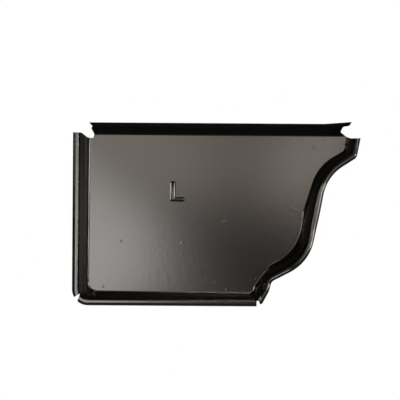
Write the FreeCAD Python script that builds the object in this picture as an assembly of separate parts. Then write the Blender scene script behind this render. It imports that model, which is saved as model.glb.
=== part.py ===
import FreeCAD
import Part
import math
import os

# Left-hand end cap for an ogee gutter, pressed from one painted aluminium sheet, in millimetres.
# Outside face towards -Y, gutter towards +Y, house wall at -X, street at +X, up is +Z.
# The origin is the gutter's back bottom corner, where its cut end seats in the rim's channel.

# Sheet
SHEET = 0.7

# Outside of the gutter that the cap closes, as steps from one corner to the next
BACK_HEIGHT = 76.9
BOTTOM_WIDTH = 83.7
TOE_OUT = 3.4
TOE_UP = 6.35
HEEL_OUT = 1.2
HEEL_UP = 4.6
BELLY_OUT = 16.7
BELLY_UP = 8.7
COVE_OUT = 7.8
COVE_UP = 38.6
BROW_OUT = 13.3
BROW_UP = 8.55
LIP_OUT = 1.6
LIP_UP = 8.3
WAIST_SHARE = 0.58
WAIST_BULGE = 0.3

# Bend radii of the gutter's outline
BACK_BEND = 6.5
TOE_BEND = 3.0
HEEL_BEND = 3.2
BELLY_BEND = 19.5
WAIST_BEND = 150.0
COVE_BEND = 20.0
BROW_BEND = 2.4

# Rim section from its outer face inwards: flange, ridge, riser, shoulder, drawn wall
FLANGE_DEPTH = 7.0
RIDGE_WIDTH = 2.7
RISER_RUN = 0.5
RISER_DROP = 1.8
SHOULDER_BACK = 2.1
SHOULDER_BOTTOM = 1.2
SHOULDER_FRONT = 1.7
SHOULDER_DROP = 1.3
RECESS = 8.5

# Bend radii of the section, on the outside face of the sheet; the riser's foot is pressed sharp
RIDGE_BEND = 1.4
MOUTH_BEND = 0.7
SHOULDER_BEND = 0.7
PAN_BEND = 1.1
LEAST_BEND = 1.0

# Panel outline: how far each corner stands in from the same corner of the gutter
PAN_BACK = 5.55
PAN_BACK_TAPER = 0.4
PAN_BOTTOM = 4.9
PAN_BOTTOM_TAPER = 0.4
PAN_TOE_IN = 2.65
PAN_INSTEP_OUT = 1.0
PAN_INSTEP_UP = 3.4
PAN_HEEL_OUT = 0.7
PAN_HEEL_UP = 6.2
PAN_BELLY_IN = 3.1
PAN_BELLY_UP = 4.3
PAN_WAIST_IN = 6.1
PAN_COVE_IN = 2.5
PAN_COVE_UP = 3.65
PAN_BROW_IN = 4.0
PAN_BROW_UP = 2.4
PAN_LIP_IN = 5.7

# Bend radii of the panel's outline
PAN_BACK_BEND = 4.5
PAN_TOE_BEND = 2.2
PAN_INSTEP_BEND = 3.0
PAN_HEEL_BEND = 2.5
PAN_BELLY_BEND = 21.0
PAN_WAIST_BEND = 12.0
PAN_COVE_BEND = 22.0
PAN_BROW_BEND = 2.2

# Top flange, bent forward off the panel's top edge, with a lip that leans out further
TOP_EDGE = 76.5
TOP_BEND = 0.8
FLANGE_RISE = 3.2
FLANGE_LEAN = 26.0
LIP_BEND = 1.2
LIP_RISE = 1.7
LIP_LEAN = 38.0

# Ends of the top flange: its base on the panel, tips that overhang it, and the lifted front tip
BASE_BACK = 2.85
BASE_FRONT = 1.5
TIP_BACK = 1.8
TIP_FRONT = 2.7
TIP_BEND = 0.5
TIP_LIFT = 0.9
TIP_LIFT_RUN = 12.0
NICK_DEPTH = 0.7

# Relief between the back strip and the top flange
BACK_RELIEF_START = 3.0
BACK_RELIEF_DROP = 2.0
BACK_RELIEF_FALL = 0.2
BACK_RELIEF_BEND = 1.0
BACK_RELIEF_SIDE = 0.4

# Relief between the top flange and the lip strip
FRONT_RELIEF_IN = 1.9
FRONT_RELIEF_UP = 1.4
FRONT_RELIEF_TOP = 3.7
FRONT_RELIEF_BEND = 0.9
FRONT_RELIEF_OUT = 2.4

# Mitre notch through ridge and flange at the gutter's back bottom corner
MITRE_IN = 3.05
MITRE_UP = 4.7
MITRE_BACK_DROP = 1.9
MITRE_BASE_IN = 1.4
MITRE_BEND = 0.2

# Slot through ridge and flange between the bottom strip and the front strip
SLOT_IN = 1.5
SLOT_WIDTH = 1.5
SLOT_FLOOR = 1.05
SLOT_UP = 2.0
SLOT_FALL = 0.2
SLOT_BEND = 0.3
TOE_TRIM = 0.45

# Length of wall modelled above the top and then trimmed away
SPARE = 12.0

# Lengths closer than this count as equal, and a bounding box can stand this far off its shape
FINE = 1e-6
BOX_SLACK = 1e-4


def corner(x, z, bend=0.0):
    return (FreeCAD.Vector(x, 0, z), bend)


def gutter_corners():
    """Corners of the gutter's outside, from the back's top anticlockwise to the lip's top."""
    toe = corner(BOTTOM_WIDTH, 0, TOE_BEND)
    instep = corner(toe[0].x + TOE_OUT, TOE_UP, TOE_BEND)
    heel = corner(instep[0].x + HEEL_OUT, instep[0].z + HEEL_UP, HEEL_BEND)
    belly = corner(heel[0].x + BELLY_OUT, heel[0].z + BELLY_UP, BELLY_BEND)
    waist_x = belly[0].x + WAIST_SHARE * COVE_OUT + WAIST_BULGE
    waist = corner(waist_x, belly[0].z + WAIST_SHARE * COVE_UP, WAIST_BEND)
    cove = corner(belly[0].x + COVE_OUT, belly[0].z + COVE_UP, COVE_BEND)
    brow = corner(cove[0].x + BROW_OUT, cove[0].z + BROW_UP, BROW_BEND)
    rise = (LIP_UP + SPARE) / LIP_UP
    lip = corner(brow[0].x + LIP_OUT * rise, brow[0].z + LIP_UP * rise)
    return [corner(0, lip[0].z), corner(0, 0, BACK_BEND), toe, instep, heel, belly, waist, cove, brow, lip]


def pan_corners():
    """Corners of the flat panel inside the drawn wall, one for each corner of the gutter."""
    back, _, toe, _, heel, belly, waist, cove, brow, lip = [c[0] for c in gutter_corners()]
    pan_toe = corner(toe.x - PAN_TOE_IN, PAN_BOTTOM - PAN_BOTTOM_TAPER, PAN_TOE_BEND)
    return [
        corner(PAN_BACK + PAN_BACK_TAPER, back.z),
        corner(PAN_BACK, PAN_BOTTOM, PAN_BACK_BEND),
        pan_toe,
        corner(pan_toe[0].x + PAN_INSTEP_OUT, pan_toe[0].z + PAN_INSTEP_UP, PAN_INSTEP_BEND),
        corner(heel.x + PAN_HEEL_OUT, heel.z + PAN_HEEL_UP, PAN_HEEL_BEND),
        corner(belly.x - PAN_BELLY_IN, belly.z + PAN_BELLY_UP, PAN_BELLY_BEND),
        corner(waist.x - PAN_WAIST_IN, waist.z, PAN_WAIST_BEND),
        corner(cove.x - PAN_COVE_IN, cove.z + PAN_COVE_UP, PAN_COVE_BEND),
        corner(brow.x - PAN_BROW_IN, brow.z + PAN_BROW_UP, PAN_BROW_BEND),
        corner(lip.x - PAN_LIP_IN, lip.z),
    ]


def inset(corners, back, bottom, front):
    """The outline with its sides moved inwards; the open top stays where it is."""
    distances = [back, bottom] + [front] * (len(corners) - 3) + [0.0]
    moved = []
    for i, (place, bend) in enumerate(corners):
        along = (place - corners[i - 1][0]).normalize()
        onward = (corners[(i + 1) % len(corners)][0] - place).normalize()
        turn = along.x * onward.z - along.z * onward.x
        before, after = distances[i - 1], distances[i]
        step = (onward * before - along * after) * (1 / turn)
        mean = (before + after) / 2
        tightened = max(bend - mean, min(bend, LEAST_BEND)) if turn > 0 else bend + mean
        moved.append((place + step, tightened if bend else 0.0))
    return moved


def row(corners, level):
    """Poles of an outline at one depth: start, corner and end of each bend, and the corner's weight."""
    lift = FreeCAD.Vector(0, level, 0)
    poles = []
    for i, (place, bend) in enumerate(corners):
        if not bend:
            poles.append((place + lift, place + lift, place + lift, 1.0))
            continue
        inward = (corners[i - 1][0] - place).normalize()
        onward = (corners[i + 1][0] - place).normalize()
        half = inward.getAngle(onward) / 2
        reach = bend / math.tan(half)
        poles.append((place + inward * reach + lift, place + lift, place + onward * reach + lift, math.sin(half)))
    return poles


def between(first, second, share):
    """Row that lies a share of the way from one row to another."""
    return [tuple(a + (b - a) * share for a, b in zip(p, q)) for p, q in zip(first, second)]


def spans(poles):
    """Stretches of a row, each as its poles and the middle one's weight: bends, and straights between."""
    found = []
    for i, (start, place, end, weight) in enumerate(poles):
        if start != end:
            found.append(([start, place, end], weight))
        if i + 1 < len(poles):
            found.append(([end, poles[i + 1][0]], 1.0))
    return found


def edge(points, weight):
    """Edge over two or three poles: a straight, an arc, or a conic where the tangents differ in length."""
    if len(points) == 2:
        return Part.LineSegment(*points).toShape()
    start, place, end = points
    if abs((place - start).Length - (end - place).Length) < FINE:
        middle = (start + place * (2 * weight) + end) * (1 / (2 + 2 * weight))
        return Part.Arc(start, middle, end).toShape()
    conic = Part.BSplineCurve()
    conic.buildFromPolesMultsKnots(points, [3, 3], [0, 1], False, 2, [1.0, weight, 1.0])
    return conic.toShape()


def centre(points, weight):
    """Centre of a bend, dropped to one depth so that rows can be compared."""
    start, place, end = points
    middle = place + ((start + end) * 0.5 - place) * (1 / (1 - weight ** 2))
    return FreeCAD.Vector(middle.x, 0, middle.z)


def alike(vectors):
    return all((v - vectors[0]).Length < FINE for v in vectors)


def stretch_face(stretch, across):
    """Face over one stretch of the rows: extruded, turned about a shared centre, or drawn between them."""
    poles = [s[0] for s in stretch]
    profile = edge([p[0] for p in poles], across)
    runs = [p[-1] - p[0] for p in poles]
    if len(poles[0]) == 2 and alike(runs):
        return profile.extrude(runs[0])
    if len(poles[0]) == 3 and alike([centre(*s) for s in stretch]):
        start, place, end = poles[0]
        before, after = place - start, end - place
        turn = math.copysign(math.degrees(before.getAngle(after)), before.cross(after).y)
        return profile.revolve(centre(*stretch[0]), FreeCAD.Vector(0, 1, 0), turn)
    along = len(poles[0])
    row_weights = [1.0, across, 1.0] if len(poles) == 3 else [1.0, 1.0]
    weights = []
    for (points, weight), row_weight in zip(stretch, row_weights):
        weights.append([row_weight * w for w in ([1.0, weight, 1.0] if along == 3 else [1.0, 1.0])])
    surface = Part.BSplineSurface()
    surface.buildFromPolesMultsKnots(
        poles, [len(poles)] * 2, [along] * 2, [0, 1], [0, 1], False, False, len(poles) - 1, along - 1, weights)
    return surface.toShape()


def strip(rows, across=1.0):
    """Faces along two rows, or round a bend of the section across three."""
    return [stretch_face(stretch, across) for stretch in zip(*[spans(r) for r in rows])]


def skin(rows, section, bends):
    """Faces of one side of the sheet, from the flange's free edge to the panel, and the last row."""
    faces = []
    last = rows[0]
    for i in range(1, len(rows) - 1):
        before = section[i - 1] - section[i]
        after = section[i + 1] - section[i]
        half = before.getAngle(after) / 2
        reach = bends[i] / math.tan(half)
        start = between(rows[i], rows[i - 1], reach / before.Length)
        end = between(rows[i], rows[i + 1], reach / after.Length)
        faces += strip([last, start])
        if bends[i]:
            faces += strip([start, rows[i], end], math.sin(half))
        last = end
    return faces, last


def flat_face(poles):
    """Flat face inside a row, closed by a straight edge."""
    edges = [edge(*span) for span in spans(poles)]
    edges.append(Part.LineSegment(poles[-1][2], poles[0][0]).toShape())
    return Part.Face(Part.Wire(edges))


def behind(section):
    """How far the hidden side of the sheet lies from each point of the section's visible side."""
    steps = []
    for i, point in enumerate(section):
        along = (point - section[i - 1]).normalize() if i else (section[1] - point).normalize()
        onward = (section[i + 1] - point).normalize() if i + 1 < len(section) else along
        side = FreeCAD.Vector(-along.y, along.x, 0)
        far_side = FreeCAD.Vector(-onward.y, onward.x, 0)
        steps.append((side + far_side) * (SHEET / (1 + side.dot(far_side))))
    return steps


def stations():
    """Rows of the visible side as outline, insets at back, bottom and front, depth and section bend."""
    gutter = gutter_corners()
    pan = pan_corners()
    mouth = RIDGE_WIDTH - SHEET
    foot = mouth + RISER_RUN
    ledge = RISER_DROP + SHOULDER_DROP - SHEET
    shoulder = (foot + SHOULDER_BACK, foot + SHOULDER_BOTTOM, foot + SHOULDER_FRONT)
    flat = 3 * PAN_BEND
    return [
        (gutter, (-SHEET, -SHEET, -SHEET), FLANGE_DEPTH, 0.0),
        (gutter, (-SHEET, -SHEET, -SHEET), -SHEET, RIDGE_BEND),
        (gutter, (mouth, mouth, mouth), -SHEET, MOUTH_BEND),
        (gutter, (foot, foot, foot), RISER_DROP - SHEET, 0.0),
        (gutter, shoulder, ledge, SHOULDER_BEND),
        (pan, (0.0, 0.0, 0.0), RECESS - SHEET, PAN_BEND),
        (pan, (flat, flat, flat), RECESS - SHEET, 0.0),
    ]


def back_section():
    """The visible side's section through the back strip, with the depth as Y."""
    gutter_back = gutter_corners()[1][0].x
    section = []
    for outline, distances, level, bend in stations():
        section.append(FreeCAD.Vector(outline[1][0].x - gutter_back + distances[0], level, 0))
    return section


def hidden_bends(section):
    """Section bends of the hidden side: tighter inside a bend down to a sharp one, wider outside it."""
    bends = [0.0]
    for before, point, after, station in zip(section, section[1:], section[2:], stations()[1:]):
        inside = (point - before).cross(after - point).z > 0
        bends.append(max(station[3] - SHEET, 0.0) if inside else station[3] + SHEET)
    return bends


def pressed_sheet():
    """Panel, drawn wall, ridge and flange as one sheet of even thickness, still too tall at the top."""
    section = back_section()
    steps = behind(section)
    visible_rows = []
    hidden_rows = []
    for (outline, distances, level, bend), step in zip(stations(), steps):
        visible_rows.append(row(inset(outline, *distances), level))
        hidden_rows.append(row(inset(outline, *[d + step.x for d in distances]), level + step.y))
    hidden_section = [point + step for point, step in zip(section, steps)]
    faces, visible_edge = skin(visible_rows, section, [s[3] for s in stations()])
    hidden_faces, hidden_edge = skin(hidden_rows, hidden_section, hidden_bends(section))
    faces += hidden_faces
    faces += strip([visible_rows[0], hidden_rows[0]])
    faces += [flat_face(visible_edge), flat_face(hidden_edge)]
    top = gutter_corners()[0][0].z
    ends = [e for f in faces for e in f.Edges if e.BoundBox.ZMin > top - BOX_SLACK]
    faces.append(Part.Face(Part.Wire(Part.sortEdges(ends)[0])))
    shell = Part.makeShell(faces)
    shell.sewShape()
    solid = Part.makeSolid(shell)
    return solid if solid.Volume > 0 else solid.reversed()


def prism(corners):
    """Cutter or blank of one outline, through the whole depth of the cap."""
    front = FreeCAD.Vector(0, -3 * RECESS, 0)
    face = flat_face(row(corners, 0.0))
    face.translate(front)
    return face.extrude(front * -2)


def flange_base():
    """Where the top flange's base starts and stops along the panel's top edge."""
    brow, lip = [c[0] for c in pan_corners()[-2:]]
    lip_x = brow.x + (lip.x - brow.x) * (TOP_EDGE - brow.z) / (lip.z - brow.z)
    return PAN_BACK + BASE_BACK, lip_x - BASE_FRONT


def front_relief():
    """Outline of the round relief beside the lip, from the flange's tip down to the panel's edge."""
    stop = flange_base()[1]
    inner = stop - FRONT_RELIEF_IN
    shelf = TOP_EDGE + FRONT_RELIEF_TOP
    return [
        corner(stop + TIP_FRONT, TOP_EDGE + FLANGE_RISE + LIP_RISE + TIP_LIFT),
        corner(stop + TIP_FRONT - FRONT_RELIEF_BEND, shelf + FRONT_RELIEF_BEND / 2, TIP_BEND),
        corner(inner + FRONT_RELIEF_BEND, shelf, FRONT_RELIEF_BEND),
        corner(inner, TOP_EDGE + FRONT_RELIEF_UP, FRONT_RELIEF_BEND),
    ]


def flange_section():
    """Closed section of the top flange and the strip of panel that it bends from."""
    deep = RECESS - SHEET
    fold_z = TOP_EDGE + FLANGE_RISE
    fold_y = deep - FLANGE_RISE / math.tan(math.radians(FLANGE_LEAN))
    lip = LIP_RISE + TIP_LIFT
    visible = [
        FreeCAD.Vector(TOP_EDGE - 3 * TOP_BEND, deep, 0),
        FreeCAD.Vector(TOP_EDGE, deep, 0),
        FreeCAD.Vector(fold_z, fold_y, 0),
        FreeCAD.Vector(fold_z + lip, fold_y - lip / math.tan(math.radians(LIP_LEAN)), 0),
    ]
    hidden = [point + step for point, step in zip(visible, behind(visible))]
    visible_bends = [0.0, TOP_BEND, LIP_BEND, 0.0]
    hidden_side_bends = [0.0, TOP_BEND + SHEET, LIP_BEND + SHEET, 0.0]
    around = list(zip(visible, visible_bends)) + list(zip(hidden, hidden_side_bends))[::-1]
    return [(FreeCAD.Vector(0, p.y, p.x), bend) for p, bend in around]


def top_flange():
    """Top flange cut to its length, its end shapes and its lifted front tip."""
    start, stop = flange_base()
    seam = TOP_EDGE - 3 * TOP_BEND
    fold = TOP_EDGE + FLANGE_RISE
    crest = fold + LIP_RISE
    relief = front_relief()
    blank = flat_face(row(flange_section(), 0.0)).extrude(FreeCAD.Vector(stop + 2 * TIP_FRONT, 0, 0))
    outline = prism([
        corner(start, seam),
        corner(start, TOP_EDGE),
        corner(start - TIP_BACK + NICK_DEPTH, fold - NICK_DEPTH),
        corner(start - TIP_BACK + 2 * NICK_DEPTH, fold),
        corner(start - TIP_BACK, crest),
        corner(relief[0][0].x - TIP_LIFT_RUN, crest),
    ] + relief + [
        corner(stop, relief[-1][0].z - FRONT_RELIEF_IN / 2),
        corner(stop, seam),
    ])
    return blank.common(outline)


def top_trim():
    """Cutter for everything above the strips' tops and the flange's seam."""
    start, stop = flange_base()
    seam = TOP_EDGE - 3 * TOP_BEND
    ridge_top = gutter_corners()[-1][0].z
    lip_top = ridge_top - SPARE
    relief = front_relief()
    floor = BACK_HEIGHT - BACK_RELIEF_DROP
    wide = 2 * (ridge_top + stop)
    return prism([
        corner(-wide, wide),
        corner(-wide, BACK_HEIGHT),
        corner(BACK_RELIEF_START, BACK_HEIGHT, BACK_RELIEF_BEND),
        corner(PAN_BACK, floor, BACK_RELIEF_BEND),
        corner(start - BACK_RELIEF_SIDE, floor - BACK_RELIEF_FALL, BACK_RELIEF_SIDE),
        corner(start, TOP_EDGE),
        corner(start, seam),
        corner(stop, seam),
        corner(stop, relief[-1][0].z - FRONT_RELIEF_IN / 2),
        corner(stop + FRONT_RELIEF_OUT, lip_top, TIP_BEND),
        corner(wide, lip_top),
        corner(wide, wide),
    ])


def mitre_notch():
    """Cutter that parts the back strip from the bottom strip at their corner."""
    far = -3 * SHEET
    back_edge = MITRE_UP - MITRE_BACK_DROP * (MITRE_IN - far) / MITRE_IN
    return prism([
        corner(MITRE_BASE_IN, far),
        corner(MITRE_BASE_IN, 0.0, SHEET),
        corner(MITRE_IN, MITRE_UP, MITRE_BEND),
        corner(far, back_edge),
        corner(far, far),
    ])


def toe_slot():
    """Cutter that parts the bottom strip from the front strip and trims the front strip's foot."""
    start = BOTTOM_WIDTH - SLOT_IN
    stop = start + SLOT_WIDTH
    far = -3 * SHEET
    return prism([
        corner(start, far),
        corner(start, SLOT_UP, SLOT_BEND),
        corner(start + SLOT_FLOOR, SLOT_UP - SLOT_FALL, SLOT_BEND),
        corner(stop, TOE_TRIM, SLOT_BEND),
        corner(BOTTOM_WIDTH + SLOT_WIDTH, TOE_TRIM, SLOT_BEND),
        corner(BOTTOM_WIDTH + 3 * SLOT_WIDTH, far),
    ])


os.makedirs("parts", exist_ok=True)
cap = pressed_sheet().cut(top_trim()).fuse(top_flange()).removeSplitter()
cap = cap.cut(mitre_notch()).cut(toe_slot())
cap.Solids[0].exportStep("parts/end_cap.step")
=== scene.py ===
# %% [markdown]
# # A pressed gutter end cap in black baked enamel
#
# The object closes the left-hand end of an ogee gutter. It is one sheet of aluminium, about 0.7 mm
# thick, pressed in a die and painted black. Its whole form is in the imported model: the flat panel, the
# drawn wall, the ridge and flange that grip the gutter's end, and the flange that is bent forward along
# the top. What is left to this scene is how the sheet looks: the paint, the light on it, and the small
# letter that the die presses into the panel.
#
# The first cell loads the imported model. It comes in as a fixed frame, in metres, and is never moved or
# reshaped. Lengths are written here in millimetres times MM, and angles in degrees.

# %% Load the frame
import bmesh
import bpy
import math
from mathutils import Matrix, Vector


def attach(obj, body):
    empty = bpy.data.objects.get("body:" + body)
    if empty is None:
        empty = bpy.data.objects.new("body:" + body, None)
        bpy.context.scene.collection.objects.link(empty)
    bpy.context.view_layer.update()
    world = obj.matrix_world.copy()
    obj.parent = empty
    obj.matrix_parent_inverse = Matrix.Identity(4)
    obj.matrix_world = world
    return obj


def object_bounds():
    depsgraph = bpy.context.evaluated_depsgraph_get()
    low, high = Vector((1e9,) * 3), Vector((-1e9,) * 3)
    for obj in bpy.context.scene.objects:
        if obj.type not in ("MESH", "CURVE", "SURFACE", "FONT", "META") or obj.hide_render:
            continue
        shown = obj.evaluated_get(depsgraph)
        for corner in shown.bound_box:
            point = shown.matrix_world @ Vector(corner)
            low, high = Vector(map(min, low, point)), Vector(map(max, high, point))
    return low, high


MM = 0.001

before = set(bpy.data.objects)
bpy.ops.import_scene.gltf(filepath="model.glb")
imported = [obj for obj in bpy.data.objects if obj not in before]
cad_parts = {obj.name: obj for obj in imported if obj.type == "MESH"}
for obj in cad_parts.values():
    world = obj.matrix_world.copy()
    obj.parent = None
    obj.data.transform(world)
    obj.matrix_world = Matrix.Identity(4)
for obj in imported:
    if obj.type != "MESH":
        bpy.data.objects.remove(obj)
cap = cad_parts["end_cap"]
cad_low, cad_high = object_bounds()
print("cap from", [round(v / MM, 1) for v in cad_low], "to", [round(v / MM, 1) for v in cad_high], "mm")

# %% [markdown]
# The photograph is taken square to the panel, from about three quarters of a metre, with the object
# turned in the picture by less than half a degree. The perspective is weak but it shows: the recessed
# panel looks a little smaller than the rim in front of it. So the camera stands at that distance, and
# its lens follows from the distance and from the width of the rim's plane that fills the picture. The
# roll turns the camera about its own axis, so it is applied before the camera is laid level.

# %% Camera
FRAME_WIDTH = 178.9 * MM
CAMERA_DISTANCE = 750 * MM
CAMERA_ACROSS = 56.51 * MM
CAMERA_UP = 46.93 * MM
CAMERA_ROLL = 0.4
SENSOR_WIDTH = 36

camera_data = bpy.data.cameras.new("camera")
camera_data.sensor_width = SENSOR_WIDTH
camera_data.lens = SENSOR_WIDTH * CAMERA_DISTANCE / FRAME_WIDTH
camera = bpy.data.objects.new("camera", camera_data)
bpy.context.scene.collection.objects.link(camera)
camera_place = Vector((CAMERA_ACROSS, cad_low.y - CAMERA_DISTANCE, CAMERA_UP))
level = Matrix.Rotation(math.radians(90), 4, "X")
roll = Matrix.Rotation(math.radians(CAMERA_ROLL), 4, "Z")
camera.matrix_world = Matrix.Translation(camera_place) @ level @ roll
bpy.context.scene.camera = camera
print("camera with a", round(camera_data.lens, 1), "mm lens at", [round(v / MM, 1) for v in camera_place])

# %% [markdown]
# Three helpers serve the world and every material. Colours are written as the hex values that a paint
# card or a colour picker gives, and those are sRGB, while the shader works in linear light, so one
# function converts them by the curve of the sRGB standard. Another adds a shader node: each of its
# inputs is given a plain value, or the node or socket that it is linked from. The last one starts a
# material with an empty node tree.

# %% Helpers for colours and shader nodes
def linear(hex_colour):
    """Linear RGBA of an sRGB colour written as six hex digits."""
    channels = [int(hex_colour[i:i + 2], 16) / 255 for i in (0, 2, 4)]
    return [c / 12.92 if c <= 0.04045 else ((c + 0.055) / 1.055) ** 2.4 for c in channels] + [1.0]


def add_node(tree, kind, inputs=(), **settings):
    """Shader node with its settings made, and each input given its value or linked to its source."""
    node = tree.nodes.new(kind)
    for name, setting in settings.items():
        setattr(node, name, setting)
    for socket, source in dict(inputs).items():
        if isinstance(source, bpy.types.Node):
            source = source.outputs[0]
        if isinstance(source, bpy.types.NodeSocket):
            tree.links.new(source, node.inputs[socket])
        else:
            node.inputs[socket].default_value = source
    return node


def start_material(name):
    """New material and its node tree, empty."""
    material = bpy.data.materials.new(name)
    material.use_nodes = True
    material.node_tree.nodes.clear()
    return material, material.node_tree


print("the sRGB grey 808080 is", round(linear("808080")[0], 3), "in linear light")

# %% [markdown]
# The cap is shown against pure white, but its bends are edged with black, so in the photograph the
# white lies only behind it and the room round the camera is dark. The world does the same. The camera
# sees it white all round, where a white card would do so only from the front. Glossy and clear surfaces
# see the white too, but only near the direction in which the camera looks, as if a backdrop of limited
# size stood there. All other rays find a dark room with a little stray light.

# %% World
BACKDROP_CONE = 25
STRAY_LIGHT = 0.02

world = bpy.data.worlds.new("studio")
bpy.context.scene.world = world
world.use_nodes = True
sky = world.node_tree
sky.nodes.clear()
ray = add_node(sky, "ShaderNodeLightPath")
ray_way = add_node(sky, "ShaderNodeTexCoord").outputs["Generated"]
heading = add_node(sky, "ShaderNodeSeparateXYZ", {0: ray_way})
mirrored = add_node(sky, "ShaderNodeMath", operation="MAXIMUM",
                    inputs={0: ray.outputs["Is Glossy Ray"], 1: ray.outputs["Is Transmission Ray"]})
behind = add_node(sky, "ShaderNodeMath", operation="GREATER_THAN",
                  inputs={0: heading.outputs["Y"], 1: math.cos(math.radians(BACKDROP_CONE))})
mirrored_white = add_node(sky, "ShaderNodeMath", {0: mirrored, 1: behind}, operation="MULTIPLY")
white = add_node(sky, "ShaderNodeMath", operation="MAXIMUM",
                 inputs={0: mirrored_white, 1: ray.outputs["Is Camera Ray"]})
dark_room = add_node(sky, "ShaderNodeBackground", {"Color": linear("FFFFFF"), "Strength": STRAY_LIGHT})
backdrop = add_node(sky, "ShaderNodeBackground", {"Color": linear("FFFFFF"), "Strength": 1.0})
shown = add_node(sky, "ShaderNodeMixShader", {0: white, 1: dark_room, 2: backdrop})
add_node(sky, "ShaderNodeOutputWorld", {"Surface": shown})
bpy.context.scene.view_settings.view_transform = "Standard"
print("world with", len(sky.nodes), "nodes")

# %% [markdown]
# The floor is a plain matt board, pale grey, some way below the cap, so that it takes the cap's shadow
# and stays out of this view. It is a plane primitive and nothing more, because it is stage and not part
# of the object.

# %% Floor
FLOOR_BELOW = 120 * MM
FLOOR_SIZE = 1000 * MM
BOARD_COLOUR = "E8E8E6"

middle = (cad_low + cad_high) / 2
bpy.ops.object.select_all(action="DESELECT")
bpy.ops.mesh.primitive_plane_add(size=FLOOR_SIZE, location=(middle.x, middle.y, cad_low.z - FLOOR_BELOW))
floor = bpy.context.object
floor.name = "floor"
board, board_tree = start_material("matt_white_board")
paper = add_node(board_tree, "ShaderNodeBsdfDiffuse", {"Color": linear(BOARD_COLOUR), "Roughness": 1.0})
add_node(board_tree, "ShaderNodeOutputMaterial", {"Surface": paper})
floor.data.materials.append(board)
print("floor", round(FLOOR_SIZE / MM), "mm square")

# %% [markdown]
# Black satin paint shows almost nothing of its own colour: what the eye reads is the room mirrored in
# it. The panel faces the camera, so its tones come from three small soft boxes just behind the camera,
# and the one at the lower left is the strongest. Their light is a little warm, and warmest at the top.
# The other boxes stand well to the side. The flat panel doesn't mirror them towards the camera, but the
# small bends that turn that way do, and that draws the bright hairlines along them: two at the right
# for the panel's back edge and the rim, one at the left for the ogee, and a small one above for the
# panel's lower edge. A picture of a studio wrapped round the scene could light the cap as well, but
# lamps can be moved one by one until each highlight lies where it should.
#
# Each lamp is given by the direction in which it stands, as seen from the cap, by its size and by its
# share of full light. Full light is the level at which a white card that faces the lamp renders white,
# so a share says at once how much a lamp does. A square lamp of W watts gives W / (pi d^2) on a card at
# distance d, and the card renders white at pi. A card that faces the camera gets about full light from
# all of them together.

# %% Soft boxes
LAMP_DISTANCE = 900 * MM
FULL_LIGHT = math.pi ** 2 * LAMP_DISTANCE ** 2


def soft_box(name, across, up, size, share, colour):
    """Square lamp across and up from the camera's direction, in degrees, facing the cap."""
    turn, rise = math.radians(across), math.radians(up)
    level_part = math.cos(rise)
    direction = Vector((math.sin(turn) * level_part, -math.cos(turn) * level_part, math.sin(rise)))
    lamp_data = bpy.data.lights.new(name, "AREA")
    lamp_data.shape = "SQUARE"
    lamp_data.size = size
    lamp_data.energy = share * FULL_LIGHT
    lamp_data.color = linear(colour)[:3]
    lamp = bpy.data.objects.new(name, lamp_data)
    bpy.context.scene.collection.objects.link(lamp)
    lamp.location = middle + direction * LAMP_DISTANCE
    lamp.rotation_euler = direction.to_track_quat("Z", "Y").to_euler()
    lamp.visible_camera = False
    return direction


# Degrees across and up, size, share of full light, colour
LAMPS = {
    "low_left": (-10.9, -5.2, 201 * MM, 0.158, "FFFCF5"),
    "high_right": (11.5, 7.9, 179 * MM, 0.089, "FFEFE3"),
    "high_left": (-5.1, 9.2, 217 * MM, 0.084, "FFF0E2"),
    "side": (38, 0, 145 * MM, 0.57, "FFF8EC"),
    "side_high": (40, 17, 240 * MM, 0.12, "FFF8EC"),
    "left": (-45, 8, 75 * MM, 0.22, "FFF8EC"),
    "above": (3, 54, 110 * MM, 0.14, "FFF8EC"),
}
card_light = 0
for lamp_name, (across, up, size, share, colour) in LAMPS.items():
    direction = soft_box(lamp_name, across, up, size, share, colour)
    card_light -= direction.y * share
print("lamps", list(LAMPS), "on a card that faces the camera", round(card_light, 2))

# %% [markdown]
# The paint is a baked enamel: sprayed or coil coated on the aluminium, then stoved, which gives a hard,
# even satin film. Its pigment is nearly black. What shows is the film's own reflection, so its shape
# and its roughness matter more than its colour, and several things change them. Each is a formula on
# the object's own coordinates, so it stays on the sheet, and each has a cell of its own.
#
# The first is the sheet under the paint, which is never dead flat. It springs back from the die crowned
# by about three quarters of a millimetre and twisted by half a millimetre, and a satin panel shows that
# as a slow change of tone. The crown and the twist could be pushed into the mesh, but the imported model
# is never reshaped, and so little is hard to see from the side, so a bump carries them. A Mapping node
# first gives the place on the panel as u and v, which are nought at the crown's centre and one at its
# edge.

# %% Spring of the sheet
CROWN_CENTRE = (57.0 * MM, 33.6 * MM)
CROWN_HALF = (52 * MM, 36 * MM)
CROWN_RISE = 0.74 * MM
TWIST_RISE = -0.5 * MM


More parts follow.
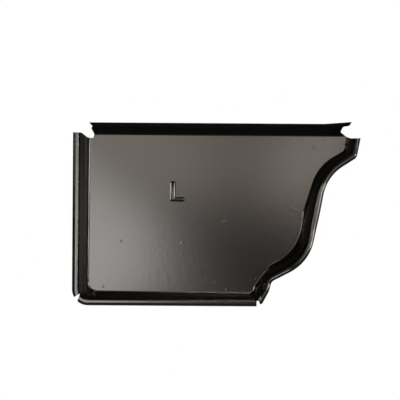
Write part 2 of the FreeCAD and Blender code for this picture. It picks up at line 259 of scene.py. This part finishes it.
def sheet_spring(tree, spot):
    """Height of the sheet's crown and twist, in metres: crown (1 - u^2)(1 - v^2) + twist u v."""
    (centre_x, centre_z), (half_x, half_z) = CROWN_CENTRE, CROWN_HALF
    spread = add_node(tree, "ShaderNodeMapping",
                      {"Vector": spot, "Scale": (1 / half_x, 1, 1 / half_z),
                       "Location": (-centre_x / half_x, 0, -centre_z / half_z)})
    squares = add_node(tree, "ShaderNodeVectorMath", {0: spread, 1: spread}, operation="MULTIPLY")
    falls = add_node(tree, "ShaderNodeVectorMath", {0: (1, 1, 1), 1: squares}, operation="SUBTRACT")
    u_v = add_node(tree, "ShaderNodeSeparateXYZ", {0: spread}).outputs
    fall = add_node(tree, "ShaderNodeSeparateXYZ", {0: falls}).outputs
    dome = add_node(tree, "ShaderNodeMath", {0: fall["X"], 1: fall["Z"]}, operation="MULTIPLY")
    saddle = add_node(tree, "ShaderNodeMath", {0: u_v["X"], 1: u_v["Z"]}, operation="MULTIPLY")
    crown = add_node(tree, "ShaderNodeMath", {0: dome, 1: CROWN_RISE}, operation="MULTIPLY")
    return add_node(tree, "ShaderNodeMath", operation="MULTIPLY_ADD",
                    inputs={0: saddle, 1: TWIST_RISE, 2: crown})


print("crown", round(CROWN_RISE / MM, 2), "mm and twist", round(TWIST_RISE / MM, 2), "mm")

# %% [markdown]
# The second is the film. Where the spray did not flow quite smooth before it was stoved, it has an
# orange peel, ripples 2.5 mm apart and a few microns high, and here and there it lies over a nib of
# dust. Noise is right for the ripples, since they have a step but no order. A Voronoi texture scatters
# nibs through space, one to each 8 mm cell, and the sheet shows the few that lie in it. Real nibs are
# narrower. These are drawn 1.4 mm wide, as coarse as they need to be to show.

# %% Orange peel and dust
PEEL_STEP = 2.5 * MM
PEEL_RISE = 0.015 * MM
NIB_STEP = 8.0 * MM
NIB_RADIUS = 0.7 * MM
NIB_RISE = 0.04 * MM


def paint_film(tree, spot):
    """Height of the orange peel and of the dust nibs, in metres."""
    peel = add_node(tree, "ShaderNodeTexNoise", {"Vector": spot, "Scale": 1 / PEEL_STEP, "Detail": 1.0})
    cells = add_node(tree, "ShaderNodeTexVoronoi", {"Vector": spot, "Scale": 1 / NIB_STEP})
    nib = add_node(tree, "ShaderNodeMapRange",
                   {"Value": cells.outputs["Distance"], "From Max": NIB_RADIUS / NIB_STEP,
                    "To Min": NIB_RISE, "To Max": 0.0})
    return add_node(tree, "ShaderNodeMath", {0: peel, 1: PEEL_RISE, 2: nib}, operation="MULTIPLY_ADD")


print("orange peel every", round(PEEL_STEP / MM, 1), "mm, nibs", round(2 * NIB_RADIUS / MM, 1), "mm wide")

# %% [markdown]
# The third is what the die does to the film in two places. It stretches the sheet most down the
# straight drawn wall at the back and crazes the film there, so that wall is matt. And along the ogee,
# above and below its waist, it rolls the top of the ridge smoother and leans it in towards the panel.
#
# Each place is a zone with bounds along the axes of the sheet. At a bound the zone begins, and a little
# further in it is full. A ramp goes from nought to one between the two, and the zone is the product of
# its ramps. Painted masks or vertex groups would do the same, but the zones have real sizes and ask
# nothing of the mesh.

# %% Zones of the sheet
# Axis, where the zone begins and where it is full
BACK_WALL = (("X", 9 * MM, 6 * MM), ("Y", 2.6 * MM, 3.2 * MM), ("Y", 7.4 * MM, 6.9 * MM))
OGEE_RIDGE = (("X", 83.5 * MM, 84.5 * MM), ("Y", 0.5 * MM, 0.0))
BELOW_WAIST = ("Z", 35 * MM, 31 * MM)
ABOVE_WAIST = ("Z", 50 * MM, 55 * MM)


def zone(tree, place, bounds):
    """One in the zone within these bounds, nought outside it."""
    inside = 1.0
    for axis, begins, full in bounds:
        ramp = add_node(tree, "ShaderNodeMapRange",
                        {"Value": place.outputs[axis], "From Min": begins, "From Max": full})
        inside = add_node(tree, "ShaderNodeMath", {0: inside, 1: ramp}, operation="MULTIPLY")
    return inside


def rolled_ridge(tree, place):
    """One along the top of the ogee's ridge above and below its waist, nought elsewhere."""
    below, above = [zone(tree, place, OGEE_RIDGE + (end,)) for end in (BELOW_WAIST, ABOVE_WAIST)]
    return add_node(tree, "ShaderNodeMath", {0: below, 1: above}, operation="ADD")


wall_depths = [round(begins / MM, 1) for axis, begins, full in BACK_WALL if axis == "Y"]
print("matt wall between the depths", wall_depths, "mm")

# %% [markdown]
# Now the enamel itself. The first bump takes the height of the sheet and the film. The second one tilts
# the rolled ridge: its height is the distance along the way in which the ridge leans, so it rises
# evenly, and its Distance is the slope of the lean, full in that zone and nought elsewhere. The tilted
# top mirrors the dark room, and only its outer fold catches the lamps, as a hairline. The roughness
# goes from satin to crazed on the back's drawn wall, and to rolled on the ridge. The IOR is that of
# most paints.

# %% Baked enamel
PAINT_COLOUR = "080808"
PAINT_IOR = 1.5
# Roughness of the plain film, of the crazed one and of the ridge
SATIN, CRAZED, ROLLED = 0.20, 0.55, 0.12
LEAN_ANGLE = 13
LEAN_WAY = (0.8, 0.0, -0.6)


def baked_enamel():
    """Satin black stoved enamel on pressed sheet."""
    material, tree = start_material("black_baked_enamel")
    spot = add_node(tree, "ShaderNodeTexCoord").outputs["Object"]
    place = add_node(tree, "ShaderNodeSeparateXYZ", {0: spot})
    height = add_node(tree, "ShaderNodeMath", {0: sheet_spring(tree, spot), 1: paint_film(tree, spot)})
    sprung = add_node(tree, "ShaderNodeBump", {"Strength": 1.0, "Distance": 1.0, "Height": height})

    ridge = rolled_ridge(tree, place)
    along = add_node(tree, "ShaderNodeVectorMath", {0: spot, 1: LEAN_WAY}, operation="DOT_PRODUCT")
    slope = math.tan(math.radians(LEAN_ANGLE))
    lean = add_node(tree, "ShaderNodeMath", {0: ridge, 1: slope}, operation="MULTIPLY")
    tilted = add_node(tree, "ShaderNodeBump",
                      {"Strength": 1.0, "Distance": lean, "Height": along.outputs["Value"],
                       "Normal": sprung})

    wall = zone(tree, place, BACK_WALL)
    film = add_node(tree, "ShaderNodeMix", {"Factor": wall, "A": SATIN, "B": CRAZED})
    roughness = add_node(tree, "ShaderNodeMix", {"Factor": ridge, "A": film, "B": ROLLED})
    paint = add_node(tree, "ShaderNodeBsdfPrincipled",
                     {"Base Color": linear(PAINT_COLOUR), "IOR": PAINT_IOR,
                      "Roughness": roughness, "Normal": tilted})
    add_node(tree, "ShaderNodeOutputMaterial", {"Surface": paint})
    return material


enamel = baked_enamel()
cap.data.materials.clear()
cap.data.materials.append(enamel)
print("enamel with", len(enamel.node_tree.nodes), "nodes")

# %% [markdown]
# The die also stamps a letter into the panel: L, for the left-hand end. The stamp is an outline, so the
# letter is a narrow groove that runs round an L, with the metal back at its first level inside. A text
# object would give a font's letter with flat sides. Here it is a thin cube at the size of the upright,
# whose lower right side is extruded into the foot. Three insets of its front then make the rolled edge,
# the groove's outer wall and its inner wall.
#
# An operator acts on whatever is selected, so two helpers come first. One opens a piece with nothing
# selected, and the other selects faces or edges by a test on their place or direction.

# %% Tools for picking faces and edges
def open_piece(piece):
    """Makes one piece the only one that is selected, and opens it in edit mode with nothing selected."""
    bpy.ops.object.select_all(action="DESELECT")
    piece.select_set(True)
    bpy.context.view_layer.objects.active = piece
    bpy.ops.object.mode_set(mode="EDIT")
    bpy.ops.mesh.select_all(action="DESELECT")


def pick(piece, kind, test):
    """Selects the faces or edges of the open piece that pass a test, and counts them."""
    bpy.ops.mesh.select_mode(type="FACE" if kind == "faces" else "EDGE")
    mesh = bmesh.from_edit_mesh(piece.data)
    picked = [part for part in getattr(mesh, kind) if test(part)]
    for part in getattr(mesh, kind):
        part.select_set(False)
    for part in picked:
        part.select_set(True)
    bmesh.update_edit_mesh(piece.data)
    return len(picked)


# %% [markdown]
# The blank of the letter is 9 mm tall and stands on the panel's painted face, which is one sheet's
# thickness in front of the cap's far side. It starts a hair under that face, so that no gap shows, and
# its back is inside the sheet. An inset takes its own width off the radius of each outer corner, so the
# corners begin with a radius that outlasts all three.

# %% Blank of the letter
SHEET = 0.7 * MM
PANEL_FRONT = cad_high.y - SHEET
SUNK = 0.02 * MM
ROOT_DEPTH = 0.3 * MM
LETTER_LEFT, LETTER_RIGHT = 42.8 * MM, 49.8 * MM
LETTER_BOTTOM, LETTER_TOP = 46.1 * MM, 55.4 * MM
UPRIGHT_WIDTH = 2.75 * MM
FOOT_HEIGHT = 2.2 * MM
FOOT_TOP = LETTER_BOTTOM + FOOT_HEIGHT
CORNER_ROUND = 1.0 * MM
CORNER_SEGMENTS = 8
# Least cosine for a face or an edge to count as pointing one way, and least angle of a corner
FACING = 0.9
SHARP = 30


def is_foot_side(face):
    """True for the face at the upright's right side that the foot grows from."""
    return face.normal.x > FACING and face.calc_center_median().z < FOOT_TOP


def is_outer_corner(edge):
    """True for an edge that runs into the sheet at a corner of the outline that points outwards."""
    along = (edge.verts[0].co - edge.verts[1].co).normalized()
    return abs(along.y) > FACING and edge.calc_face_angle_signed(0) > math.radians(SHARP)


def letter_blank():
    """L with rounded outer corners, rooted in the sheet and left open in edit mode."""
    size = Vector((UPRIGHT_WIDTH, ROOT_DEPTH, LETTER_TOP - LETTER_BOTTOM))
    corner = Vector((LETTER_LEFT, PANEL_FRONT + SUNK, LETTER_BOTTOM))
    bpy.ops.object.select_all(action="DESELECT")
    bpy.ops.mesh.primitive_cube_add(size=1, location=corner + size / 2, scale=size)
    blank = bpy.context.object
    blank.name = "letter_mark"
    bpy.ops.object.transform_apply(location=True, rotation=True, scale=True)
    open_piece(blank)
    bpy.ops.mesh.select_all(action="SELECT")
    bpy.ops.mesh.bisect(plane_co=(0, 0, FOOT_TOP), plane_no=(0, 0, 1))
    pick(blank, "faces", is_foot_side)
    foot_length = LETTER_RIGHT - LETTER_LEFT - UPRIGHT_WIDTH
    bpy.ops.mesh.extrude_region_move(TRANSFORM_OT_translate={"value": (foot_length, 0, 0)})
    corners = pick(blank, "edges", is_outer_corner)
    bpy.ops.mesh.bevel(offset=CORNER_ROUND, segments=CORNER_SEGMENTS, affect="EDGES")
    print("blank of the letter with", corners, "outer corners rounded")
    return blank


letter = letter_blank()

# %% [markdown]
# The front of the blank is then inset three times. The first inset lifts it, which rolls the edge up to
# a sixth of a millimetre above the panel. The second one sinks it again, nearly to the panel, and is
# the groove's outer wall. The third brings it back up along the inner wall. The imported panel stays
# whole, so a groove can only be held by metal that stands a little proud of it, and that is why the
# letter has an edge.

# %% Pressed groove
EDGE_WIDTH, EDGE_RISE = 0.08 * MM, 0.18 * MM
OUTER_WALL, INNER_WALL = 0.46 * MM, 0.30 * MM
GROOVE_DEPTH = 0.135 * MM
SMOOTH_BELOW = 30

pick(letter, "faces", lambda face: face.normal.y < -FACING)
for width, rise in ((EDGE_WIDTH, EDGE_RISE), (OUTER_WALL, -GROOVE_DEPTH), (INNER_WALL, GROOVE_DEPTH)):
    bpy.ops.mesh.inset(thickness=width, depth=rise, use_even_offset=True)
bpy.ops.object.mode_set(mode="OBJECT")
bpy.ops.object.shade_smooth_by_angle(angle=math.radians(SMOOTH_BELOW))
letter.data.materials.append(enamel)
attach(letter, "root")
print("letter with", len(letter.data.polygons), "faces,", round((EDGE_RISE - SUNK) / MM, 2), "mm proud")
